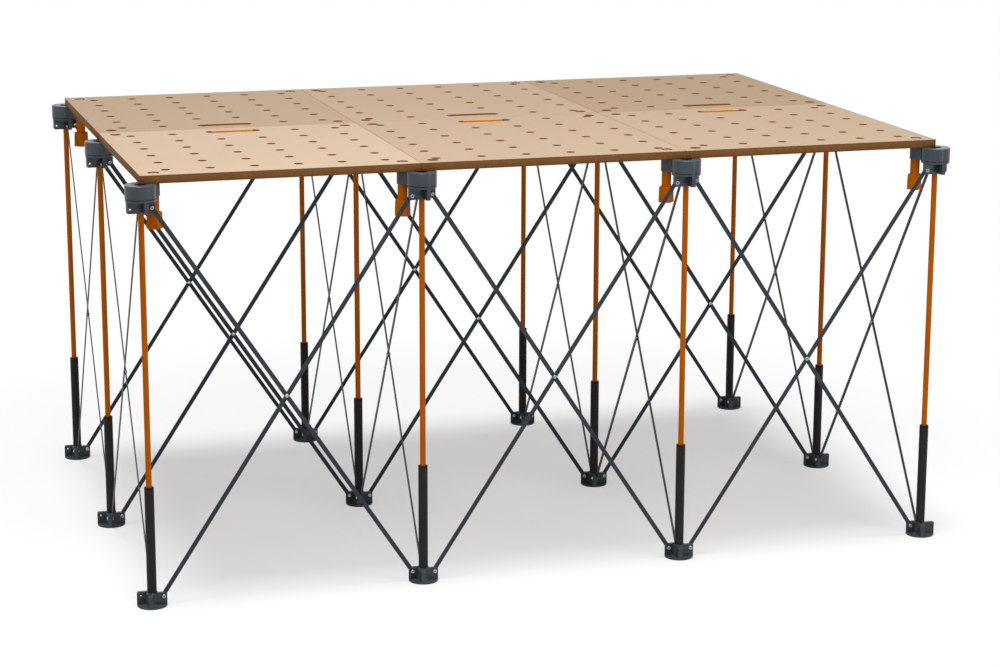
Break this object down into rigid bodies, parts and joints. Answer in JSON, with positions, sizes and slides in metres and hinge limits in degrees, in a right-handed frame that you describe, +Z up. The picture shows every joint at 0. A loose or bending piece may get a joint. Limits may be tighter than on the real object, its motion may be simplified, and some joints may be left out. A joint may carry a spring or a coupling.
{
  "type": "folding work platform",
  "caption": "Folding scissor-frame work platform on telescoping legs, with lift-off holed boards laid on its head rings as a bench top.",
  "frame": {"origin": "on the floor under the middle of the platform", "axes": "+X along the platform, +Y across it to the rear, +Z up"},
  "size_m": [1.8948, 1.2852, 0.945],
  "materials": {
    "upper_leg": "slate grey moulded head over an orange powder-coated tube, with an orange clamp knob on the outer rows",
    "lower_leg": "black painted outer tube in a dark grey moulded foot",
    "bar_steel": "charcoal painted flat steel with zinc rivets",
    "board": "bare medium-density fibreboard, darker on the cut edges",
    "grip": "orange moulded hand grip"
  },
  "bodies": {
    "lower_leg_front_1": {"lower_leg_front_1": "lower_leg"},
    "lower_leg_front_2": {"lower_leg_front_2": "lower_leg"},
    "lower_leg_front_3": {"lower_leg_front_3": "lower_leg"},
    "lower_leg_front_4": {"lower_leg_front_4": "lower_leg"},
    "lower_leg_mid_1": {"lower_leg_mid_1": "lower_leg"},
    "lower_leg_mid_2": {"lower_leg_mid_2": "lower_leg"},
    "lower_leg_mid_3": {"lower_leg_mid_3": "lower_leg"},
    "lower_leg_mid_4": {"lower_leg_mid_4": "lower_leg"},
    "lower_leg_rear_1": {"lower_leg_rear_1": "lower_leg"},
    "lower_leg_rear_2": {"lower_leg_rear_2": "lower_leg"},
    "lower_leg_rear_3": {"lower_leg_rear_3": "lower_leg"},
    "lower_leg_rear_4": {"lower_leg_rear_4": "lower_leg"},
    "upper_leg_front_1": {"upper_leg_front_1": "upper_leg"},
    "upper_leg_front_2": {"upper_leg_front_2": "upper_leg"},
    "upper_leg_front_3": {"upper_leg_front_3": "upper_leg"},
    "upper_leg_front_4": {"upper_leg_front_4": "upper_leg"},
    "upper_leg_mid_1": {"upper_leg_mid_1": "upper_leg"},
    "upper_leg_mid_2": {"upper_leg_mid_2": "upper_leg"},
    "upper_leg_mid_3": {"upper_leg_mid_3": "upper_leg"},
    "upper_leg_mid_4": {"upper_leg_mid_4": "upper_leg"},
    "upper_leg_rear_1": {"upper_leg_rear_1": "upper_leg"},
    "upper_leg_rear_2": {"upper_leg_rear_2": "upper_leg"},
    "upper_leg_rear_3": {"upper_leg_rear_3": "upper_leg"},
    "upper_leg_rear_4": {"upper_leg_rear_4": "upper_leg"},
    "long_bar_front_1_up": {"long_bar_front_1_up": "bar_steel"},
    "cross_bar_front_1_up": {"cross_bar_front_1_up": "bar_steel"},
    "long_bar_front_2_up": {"long_bar_front_2_up": "bar_steel"},
    "cross_bar_front_2_up": {"cross_bar_front_2_up": "bar_steel"},
    "long_bar_front_3_up": {"long_bar_front_3_up": "bar_steel"},
    "cross_bar_front_3_up": {"cross_bar_front_3_up": "bar_steel"},
    "cross_bar_front_4_up": {"cross_bar_front_4_up": "bar_steel"},
    "long_bar_mid_1_up": {"long_bar_mid_1_up": "bar_steel"},
    "cross_bar_mid_1_up": {"cross_bar_mid_1_up": "bar_steel"},
    "long_bar_mid_2_up": {"long_bar_mid_2_up": "bar_steel"},
    "cross_bar_mid_2_up": {"cross_bar_mid_2_up": "bar_steel"},
    "long_bar_mid_3_up": {"long_bar_mid_3_up": "bar_steel"},
    "cross_bar_mid_3_up": {"cross_bar_mid_3_up": "bar_steel"},
    "cross_bar_mid_4_up": {"cross_bar_mid_4_up": "bar_steel"},
    "long_bar_rear_1_up": {"long_bar_rear_1_up": "bar_steel"},
    "long_bar_rear_2_up": {"long_bar_rear_2_up": "bar_steel"},
    "long_bar_rear_3_up": {"long_bar_rear_3_up": "bar_steel"},
    "long_bar_front_1_down": {"long_bar_front_1_down": "bar_steel"},
    "cross_bar_front_1_down": {"cross_bar_front_1_down": "bar_steel"},
    "long_bar_front_2_down": {"long_bar_front_2_down": "bar_steel"},
    "cross_bar_front_2_down": {"cross_bar_front_2_down": "bar_steel"},
    "long_bar_front_3_down": {"long_bar_front_3_down": "bar_steel"},
    "cross_bar_front_3_down": {"cross_bar_front_3_down": "bar_steel"},
    "cross_bar_front_4_down": {"cross_bar_front_4_down": "bar_steel"},
    "long_bar_mid_1_down": {"long_bar_mid_1_down": "bar_steel"},
    "cross_bar_mid_1_down": {"cross_bar_mid_1_down": "bar_steel"},
    "long_bar_mid_2_down": {"long_bar_mid_2_down": "bar_steel"},
    "cross_bar_mid_2_down": {"cross_bar_mid_2_down": "bar_steel"},
    "long_bar_mid_3_down": {"long_bar_mid_3_down": "bar_steel"},
    "cross_bar_mid_3_down": {"cross_bar_mid_3_down": "bar_steel"},
    "cross_bar_mid_4_down": {"cross_bar_mid_4_down": "bar_steel"},
    "long_bar_rear_1_down": {"long_bar_rear_1_down": "bar_steel"},
    "long_bar_rear_2_down": {"long_bar_rear_2_down": "bar_steel"},
    "long_bar_rear_3_down": {"long_bar_rear_3_down": "bar_steel"},
    "worktop": {"worktop_panels": "board", "panel_grips": "grip"}
  },
  "joints": [
    {"name": "frame_fold", "type": "hinge", "parent": "lower_leg_mid_2", "child": "long_bar_mid_2_up", "pos_m": [-0.2808, -0.0017, 0.022], "axis": [0, -1, 0], "range_deg": [0, 30]},
    {"name": "long_bar_mid_2_down_swing", "type": "hinge", "parent": "long_bar_mid_2_up", "child": "long_bar_mid_2_down", "pos_m": [0, 0, 0.449], "axis": [0, 1, 0], "range_deg": [0, 60]},
    {"name": "upper_leg_mid_2_stand", "type": "hinge", "parent": "long_bar_mid_2_down", "child": "upper_leg_mid_2", "pos_m": [-0.2808, 0.0017, 0.876], "axis": [0, -1, 0], "range_deg": [0, 30]},
    {"name": "lower_leg_mid_3_stand", "type": "hinge", "parent": "long_bar_mid_2_down", "child": "lower_leg_mid_3", "pos_m": [0.2808, 0.0017, 0.022], "axis": [0, -1, 0], "range_deg": [0, 30]},
    {"name": "upper_leg_mid_3_stand", "type": "hinge", "parent": "long_bar_mid_2_up", "child": "upper_leg_mid_3", "pos_m": [0.2808, -0.0017, 0.876], "axis": [0, 1, 0], "range_deg": [0, 30]},
    {"name": "long_bar_mid_3_up_swing", "type": "hinge", "parent": "lower_leg_mid_3", "child": "long_bar_mid_3_up", "pos_m": [0.3288, -0.0017, 0.022], "axis": [0, -1, 0], "range_deg": [0, 30]},
    {"name": "long_bar_mid_3_down_swing", "type": "hinge", "parent": "long_bar_mid_3_up", "child": "long_bar_mid_3_down", "pos_m": [0.6096, 0, 0.449], "axis": [0, 1, 0], "range_deg": [0, 60]},
    {"name": "lower_leg_mid_4_stand", "type": "hinge", "parent": "long_bar_mid_3_down", "child": "lower_leg_mid_4", "pos_m": [0.8904, 0.0017, 0.022], "axis": [0, -1, 0], "range_deg": [0, 30]},
    {"name": "upper_leg_mid_4_stand", "type": "hinge", "parent": "long_bar_mid_3_up", "child": "upper_leg_mid_4", "pos_m": [0.8904, -0.0017, 0.876], "axis": [0, 1, 0], "range_deg": [0, 30]},
    {"name": "long_bar_mid_1_down_swing", "type": "hinge", "parent": "lower_leg_mid_2", "child": "long_bar_mid_1_down", "pos_m": [-0.3288, 0.0017, 0.022], "axis": [0, 1, 0], "range_deg": [0, 30]},
    {"name": "long_bar_mid_1_up_swing", "type": "hinge", "parent": "long_bar_mid_1_down", "child": "long_bar_mid_1_up", "pos_m": [-0.6096, 0, 0.449], "axis": [0, -1, 0], "range_deg": [0, 60]},
    {"name": "lower_leg_mid_1_stand", "type": "hinge", "parent": "long_bar_mid_1_up", "child": "lower_leg_mid_1", "pos_m": [-0.8904, -0.0017, 0.022], "axis": [0, 1, 0], "range_deg": [0, 30]},
    {"name": "upper_leg_mid_1_stand", "type": "hinge", "parent": "long_bar_mid_1_down", "child": "upper_leg_mid_1", "pos_m": [-0.8904, 0.0017, 0.876], "axis": [0, -1, 0], "range_deg": [0, 30]},
    {"name": "cross_bar_mid_1_up_swing", "type": "hinge", "parent": "lower_leg_mid_1", "child": "cross_bar_mid_1_up", "pos_m": [-0.9127, 0.024, 0.022], "axis": [1, 0, 0], "range_deg": [0, 30]},
    {"name": "cross_bar_mid_1_down_swing", "type": "hinge", "parent": "cross_bar_mid_1_up", "child": "cross_bar_mid_1_down", "pos_m": [-0.9144, 0.3048, 0.449], "axis": [-1, 0, 0], "range_deg": [0, 60]},
    {"name": "lower_leg_rear_1_stand", "type": "hinge", "parent": "cross_bar_mid_1_down", "child": "lower_leg_rear_1", "pos_m": [-0.9161, 0.5856, 0.022], "axis": [1, 0, 0], "range_deg": [0, 30]},
    {"name": "upper_leg_rear_1_stand", "type": "hinge", "parent": "cross_bar_mid_1_up", "child": "upper_leg_rear_1", "pos_m": [-0.9127, 0.5856, 0.876], "axis": [-1, 0, 0], "range_deg": [0, 30]},
    {"name": "cross_bar_front_1_down_swing", "type": "hinge", "parent": "lower_leg_mid_1", "child": "cross_bar_front_1_down", "pos_m": [-0.9161, -0.024, 0.022], "axis": [-1, 0, 0], "range_deg": [0, 30]},
    {"name": "cross_bar_front_1_up_swing", "type": "hinge", "parent": "cross_bar_front_1_down", "child": "cross_bar_front_1_up", "pos_m": [-0.9144, -0.3048, 0.449], "axis": [1, 0, 0], "range_deg": [0, 60]},
    {"name": "lower_leg_front_1_stand", "type": "hinge", "parent": "cross_bar_front_1_up", "child": "lower_leg_front_1", "pos_m": [-0.9127, -0.5856, 0.022], "axis": [-1, 0, 0], "range_deg": [0, 30]},
    {"name": "upper_leg_front_1_stand", "type": "hinge", "parent": "cross_bar_front_1_down", "child": "upper_leg_front_1", "pos_m": [-0.9161, -0.5856, 0.876], "axis": [1, 0, 0], "range_deg": [0, 30]},
    {"name": "cross_bar_mid_2_up_swing", "type": "hinge", "parent": "lower_leg_mid_2", "child": "cross_bar_mid_2_up", "pos_m": [-0.3031, 0.024, 0.022], "axis": [1, 0, 0], "range_deg": [0, 30]},
    {"name": "cross_bar_mid_2_down_swing", "type": "hinge", "parent": "cross_bar_mid_2_up", "child": "cross_bar_mid_2_down", "pos_m": [-0.3048, 0.3048, 0.449], "axis": [-1, 0, 0], "range_deg": [0, 60]},
    {"name": "lower_leg_rear_2_stand", "type": "hinge", "parent": "cross_bar_mid_2_down", "child": "lower_leg_rear_2", "pos_m": [-0.3065, 0.5856, 0.022], "axis": [1, 0, 0], "range_deg": [0, 30]},
    {"name": "upper_leg_rear_2_stand", "type": "hinge", "parent": "cross_bar_mid_2_up", "child": "upper_leg_rear_2", "pos_m": [-0.3031, 0.5856, 0.876], "axis": [-1, 0, 0], "range_deg": [0, 30]},
    {"name": "cross_bar_front_2_down_swing", "type": "hinge", "parent": "lower_leg_mid_2", "child": "cross_bar_front_2_down", "pos_m": [-0.3065, -0.024, 0.022], "axis": [-1, 0, 0], "range_deg": [0, 30]},
    {"name": "cross_bar_front_2_up_swing", "type": "hinge", "parent": "cross_bar_front_2_down", "child": "cross_bar_front_2_up", "pos_m": [-0.3048, -0.3048, 0.449], "axis": [1, 0, 0], "range_deg": [0, 60]},
    {"name": "lower_leg_front_2_stand", "type": "hinge", "parent": "cross_bar_front_2_up", "child": "lower_leg_front_2", "pos_m": [-0.3031, -0.5856, 0.022], "axis": [-1, 0, 0], "range_deg": [0, 30]},
    {"name": "upper_leg_front_2_stand", "type": "hinge", "parent": "cross_bar_front_2_down", "child": "upper_leg_front_2", "pos_m": [-0.3065, -0.5856, 0.876], "axis": [1, 0, 0], "range_deg": [0, 30]},
    {"name": "cross_bar_mid_3_up_swing", "type": "hinge", "parent": "lower_leg_mid_3", "child": "cross_bar_mid_3_up", "pos_m": [0.3065, 0.024, 0.022], "axis": [1, 0, 0], "range_deg": [0, 30]},
    {"name": "cross_bar_mid_3_down_swing", "type": "hinge", "parent": "cross_bar_mid_3_up", "child": "cross_bar_mid_3_down", "pos_m": [0.3048, 0.3048, 0.449], "axis": [-1, 0, 0], "range_deg": [0, 60]},
    {"name": "lower_leg_rear_3_stand", "type": "hinge", "parent": "cross_bar_mid_3_down", "child": "lower_leg_rear_3", "pos_m": [0.3031, 0.5856, 0.022], "axis": [1, 0, 0], "range_deg": [0, 30]},
    {"name": "upper_leg_rear_3_stand", "type": "hinge", "parent": "cross_bar_mid_3_up", "child": "upper_leg_rear_3", "pos_m": [0.3065, 0.5856, 0.876], "axis": [-1, 0, 0], "range_deg": [0, 30]},
    {"name": "cross_bar_front_3_down_swing", "type": "hinge", "parent": "lower_leg_mid_3", "child": "cross_bar_front_3_down", "pos_m": [0.3031, -0.024, 0.022], "axis": [-1, 0, 0], "range_deg": [0, 30]},
    {"name": "cross_bar_front_3_up_swing", "type": "hinge", "parent": "cross_bar_front_3_down", "child": "cross_bar_front_3_up", "pos_m": [0.3048, -0.3048, 0.449], "axis": [1, 0, 0], "range_deg": [0, 60]},
    {"name": "lower_leg_front_3_stand", "type": "hinge", "parent": "cross_bar_front_3_up", "child": "lower_leg_front_3", "pos_m": [0.3065, -0.5856, 0.022], "axis": [-1, 0, 0], "range_deg": [0, 30]},
    {"name": "upper_leg_front_3_stand", "type": "hinge", "parent": "cross_bar_front_3_down", "child": "upper_leg_front_3", "pos_m": [0.3031, -0.5856, 0.876], "axis": [1, 0, 0], "range_deg": [0, 30]},
    {"name": "cross_bar_mid_4_up_swing", "type": "hinge", "parent": "lower_leg_mid_4", "child": "cross_bar_mid_4_up", "pos_m": [0.9161, 0.024, 0.022], "axis": [1, 0, 0], "range_deg": [0, 30]},
    {"name": "cross_bar_mid_4_down_swing", "type": "hinge", "parent": "cross_bar_mid_4_up", "child": "cross_bar_mid_4_down", "pos_m": [0.9144, 0.3048, 0.449], "axis": [-1, 0, 0], "range_deg": [0, 60]},
    {"name": "lower_leg_rear_4_stand", "type": "hinge", "parent": "cross_bar_mid_4_down", "child": "lower_leg_rear_4", "pos_m": [0.9127, 0.5856, 0.022], "axis": [1, 0, 0], "range_deg": [0, 30]},
    {"name": "upper_leg_rear_4_stand", "type": "hinge", "parent": "cross_bar_mid_4_up", "child": "upper_leg_rear_4", "pos_m": [0.9161, 0.5856, 0.876], "axis": [-1, 0, 0], "range_deg": [0, 30]},
    {"name": "cross_bar_front_4_down_swing", "type": "hinge", "parent": "lower_leg_mid_4", "child": "cross_bar_front_4_down", "pos_m": [0.9127, -0.024, 0.022], "axis": [-1, 0, 0], "range_deg": [0, 30]},
    {"name": "cross_bar_front_4_up_swing", "type": "hinge", "parent": "cross_bar_front_4_down", "child": "cross_bar_front_4_up", "pos_m": [0.9144, -0.3048, 0.449], "axis": [1, 0, 0], "range_deg": [0, 60]},
    {"name": "lower_leg_front_4_stand", "type": "hinge", "parent": "cross_bar_front_4_up", "child": "lower_leg_front_4", "pos_m": [0.9161, -0.5856, 0.022], "axis": [-1, 0, 0], "range_deg": [0, 30]},
    {"name": "upper_leg_front_4_stand", "type": "hinge", "parent": "cross_bar_front_4_down", "child": "upper_leg_front_4", "pos_m": [0.9127, -0.5856, 0.876], "axis": [1, 0, 0], "range_deg": [0, 30]},
    {"name": "long_bar_front_1_up_swing", "type": "hinge", "parent": "lower_leg_front_1", "child": "long_bar_front_1_up", "pos_m": [-0.8904, -0.6113, 0.022], "axis": [0, -1, 0], "range_deg": [0, 30]},
    {"name": "long_bar_front_1_down_swing", "type": "hinge", "parent": "long_bar_front_1_up", "child": "long_bar_front_1_down", "pos_m": [-0.6096, -0.6096, 0.449], "axis": [0, 1, 0], "range_deg": [0, 60]},
    {"name": "long_bar_front_2_up_swing", "type": "hinge", "parent": "lower_leg_front_2", "child": "long_bar_front_2_up", "pos_m": [-0.2808, -0.6113, 0.022], "axis": [0, -1, 0], "range_deg": [0, 30]},
    {"name": "long_bar_front_2_down_swing", "type": "hinge", "parent": "long_bar_front_2_up", "child": "long_bar_front_2_down", "pos_m": [0, -0.6096, 0.449], "axis": [0, 1, 0], "range_deg": [0, 60]},
    {"name": "long_bar_front_3_up_swing", "type": "hinge", "parent": "lower_leg_front_3", "child": "long_bar_front_3_up", "pos_m": [0.3288, -0.6113, 0.022], "axis": [0, -1, 0], "range_deg": [0, 30]},
    {"name": "long_bar_front_3_down_swing", "type": "hinge", "parent": "long_bar_front_3_up", "child": "long_bar_front_3_down", "pos_m": [0.6096, -0.6096, 0.449], "axis": [0, 1, 0], "range_deg": [0, 60]},
    {"name": "long_bar_rear_1_up_swing", "type": "hinge", "parent": "lower_leg_rear_1", "child": "long_bar_rear_1_up", "pos_m": [-0.8904, 0.6079, 0.022], "axis": [0, -1, 0], "range_deg": [0, 30]},
    {"name": "long_bar_rear_1_down_swing", "type": "hinge", "parent": "long_bar_rear_1_up", "child": "long_bar_rear_1_down", "pos_m": [-0.6096, 0.6096, 0.449], "axis": [0, 1, 0], "range_deg": [0, 60]},
    {"name": "long_bar_rear_2_up_swing", "type": "hinge", "parent": "lower_leg_rear_2", "child": "long_bar_rear_2_up", "pos_m": [-0.2808, 0.6079, 0.022], "axis": [0, -1, 0], "range_deg": [0, 30]},
    {"name": "long_bar_rear_2_down_swing", "type": "hinge", "parent": "long_bar_rear_2_up", "child": "long_bar_rear_2_down", "pos_m": [0, 0.6096, 0.449], "axis": [0, 1, 0], "range_deg": [0, 60]},
    {"name": "long_bar_rear_3_up_swing", "type": "hinge", "parent": "lower_leg_rear_3", "child": "long_bar_rear_3_up", "pos_m": [0.3288, 0.6079, 0.022], "axis": [0, -1, 0], "range_deg": [0, 30]},
    {"name": "long_bar_rear_3_down_swing", "type": "hinge", "parent": "long_bar_rear_3_up", "child": "long_bar_rear_3_down", "pos_m": [0.6096, 0.6096, 0.449], "axis": [0, 1, 0], "range_deg": [0, 60]},
    {"name": "worktop_lift", "type": "slide", "parent": "upper_leg_mid_2", "child": "worktop", "axis": [0, 0, 1], "range_m": [0, 0.25]}
  ],
  "couplings": [
    {"joint": "long_bar_mid_2_down_swing", "follows": "frame_fold", "ratio": 2},
    {"joint": "upper_leg_mid_2_stand", "follows": "frame_fold", "ratio": 1},
    {"joint": "lower_leg_mid_3_stand", "follows": "frame_fold", "ratio": 1},
    {"joint": "upper_leg_mid_3_stand", "follows": "frame_fold", "ratio": 1},
    {"joint": "long_bar_mid_3_up_swing", "follows": "frame_fold", "ratio": 1},
    {"joint": "long_bar_mid_3_down_swing", "follows": "frame_fold", "ratio": 2},
    {"joint": "lower_leg_mid_4_stand", "follows": "frame_fold", "ratio": 1},
    {"joint": "upper_leg_mid_4_stand", "follows": "frame_fold", "ratio": 1},
    {"joint": "long_bar_mid_1_down_swing", "follows": "frame_fold", "ratio": 1},
    {"joint": "long_bar_mid_1_up_swing", "follows": "frame_fold", "ratio": 2},
    {"joint": "lower_leg_mid_1_stand", "follows": "frame_fold", "ratio": 1},
    {"joint": "upper_leg_mid_1_stand", "follows": "frame_fold", "ratio": 1},
    {"joint": "cross_bar_mid_1_up_swing", "follows": "frame_fold", "ratio": 1},
    {"joint": "cross_bar_mid_1_down_swing", "follows": "frame_fold", "ratio": 2},
    {"joint": "lower_leg_rear_1_stand", "follows": "frame_fold", "ratio": 1},
    {"joint": "upper_leg_rear_1_stand", "follows": "frame_fold", "ratio": 1},
    {"joint": "cross_bar_front_1_down_swing", "follows": "frame_fold", "ratio": 1},
    {"joint": "cross_bar_front_1_up_swing", "follows": "frame_fold", "ratio": 2},
    {"joint": "lower_leg_front_1_stand", "follows": "frame_fold", "ratio": 1},
    {"joint": "upper_leg_front_1_stand", "follows": "frame_fold", "ratio": 1},
    {"joint": "cross_bar_mid_2_up_swing", "follows": "frame_fold", "ratio": 1},
    {"joint": "cross_bar_mid_2_down_swing", "follows": "frame_fold", "ratio": 2},
    {"joint": "lower_leg_rear_2_stand", "follows": "frame_fold", "ratio": 1},
    {"joint": "upper_leg_rear_2_stand", "follows": "frame_fold", "ratio": 1},
    {"joint": "cross_bar_front_2_down_swing", "follows": "frame_fold", "ratio": 1},
    {"joint": "cross_bar_front_2_up_swing", "follows": "frame_fold", "ratio": 2},
    {"joint": "lower_leg_front_2_stand", "follows": "frame_fold", "ratio": 1},
    {"joint": "upper_leg_front_2_stand", "follows": "frame_fold", "ratio": 1},
    {"joint": "cross_bar_mid_3_up_swing", "follows": "frame_fold", "ratio": 1},
    {"joint": "cross_bar_mid_3_down_swing", "follows": "frame_fold", "ratio": 2},
    {"joint": "lower_leg_rear_3_stand", "follows": "frame_fold", "ratio": 1},
    {"joint": "upper_leg_rear_3_stand", "follows": "frame_fold", "ratio": 1},
    {"joint": "cross_bar_front_3_down_swing", "follows": "frame_fold", "ratio": 1},
    {"joint": "cross_bar_front_3_up_swing", "follows": "frame_fold", "ratio": 2},
    {"joint": "lower_leg_front_3_stand", "follows": "frame_fold", "ratio": 1},
    {"joint": "upper_leg_front_3_stand", "follows": "frame_fold", "ratio": 1},
    {"joint": "cross_bar_mid_4_up_swing", "follows": "frame_fold", "ratio": 1},
    {"joint": "cross_bar_mid_4_down_swing", "follows": "frame_fold", "ratio": 2},
    {"joint": "lower_leg_rear_4_stand", "follows": "frame_fold", "ratio": 1},
    {"joint": "upper_leg_rear_4_stand", "follows": "frame_fold", "ratio": 1},
    {"joint": "cross_bar_front_4_down_swing", "follows": "frame_fold", "ratio": 1},
    {"joint": "cross_bar_front_4_up_swing", "follows": "frame_fold", "ratio": 2},
    {"joint": "lower_leg_front_4_stand", "follows": "frame_fold", "ratio": 1},
    {"joint": "upper_leg_front_4_stand", "follows": "frame_fold", "ratio": 1},
    {"joint": "long_bar_front_1_up_swing", "follows": "frame_fold", "ratio": 1},
    {"joint": "long_bar_front_1_down_swing", "follows": "frame_fold", "ratio": 2},
    {"joint": "long_bar_front_2_up_swing", "follows": "frame_fold", "ratio": 1},
    {"joint": "long_bar_front_2_down_swing", "follows": "frame_fold", "ratio": 2},
    {"joint": "long_bar_front_3_up_swing", "follows": "frame_fold", "ratio": 1},
    {"joint": "long_bar_front_3_down_swing", "follows": "frame_fold", "ratio": 2},
    {"joint": "long_bar_rear_1_up_swing", "follows": "frame_fold", "ratio": 1},
    {"joint": "long_bar_rear_1_down_swing", "follows": "frame_fold", "ratio": 2},
    {"joint": "long_bar_rear_2_up_swing", "follows": "frame_fold", "ratio": 1},
    {"joint": "long_bar_rear_2_down_swing", "follows": "frame_fold", "ratio": 2},
    {"joint": "long_bar_rear_3_up_swing", "follows": "frame_fold", "ratio": 1},
    {"joint": "long_bar_rear_3_down_swing", "follows": "frame_fold", "ratio": 2}
  ]
}
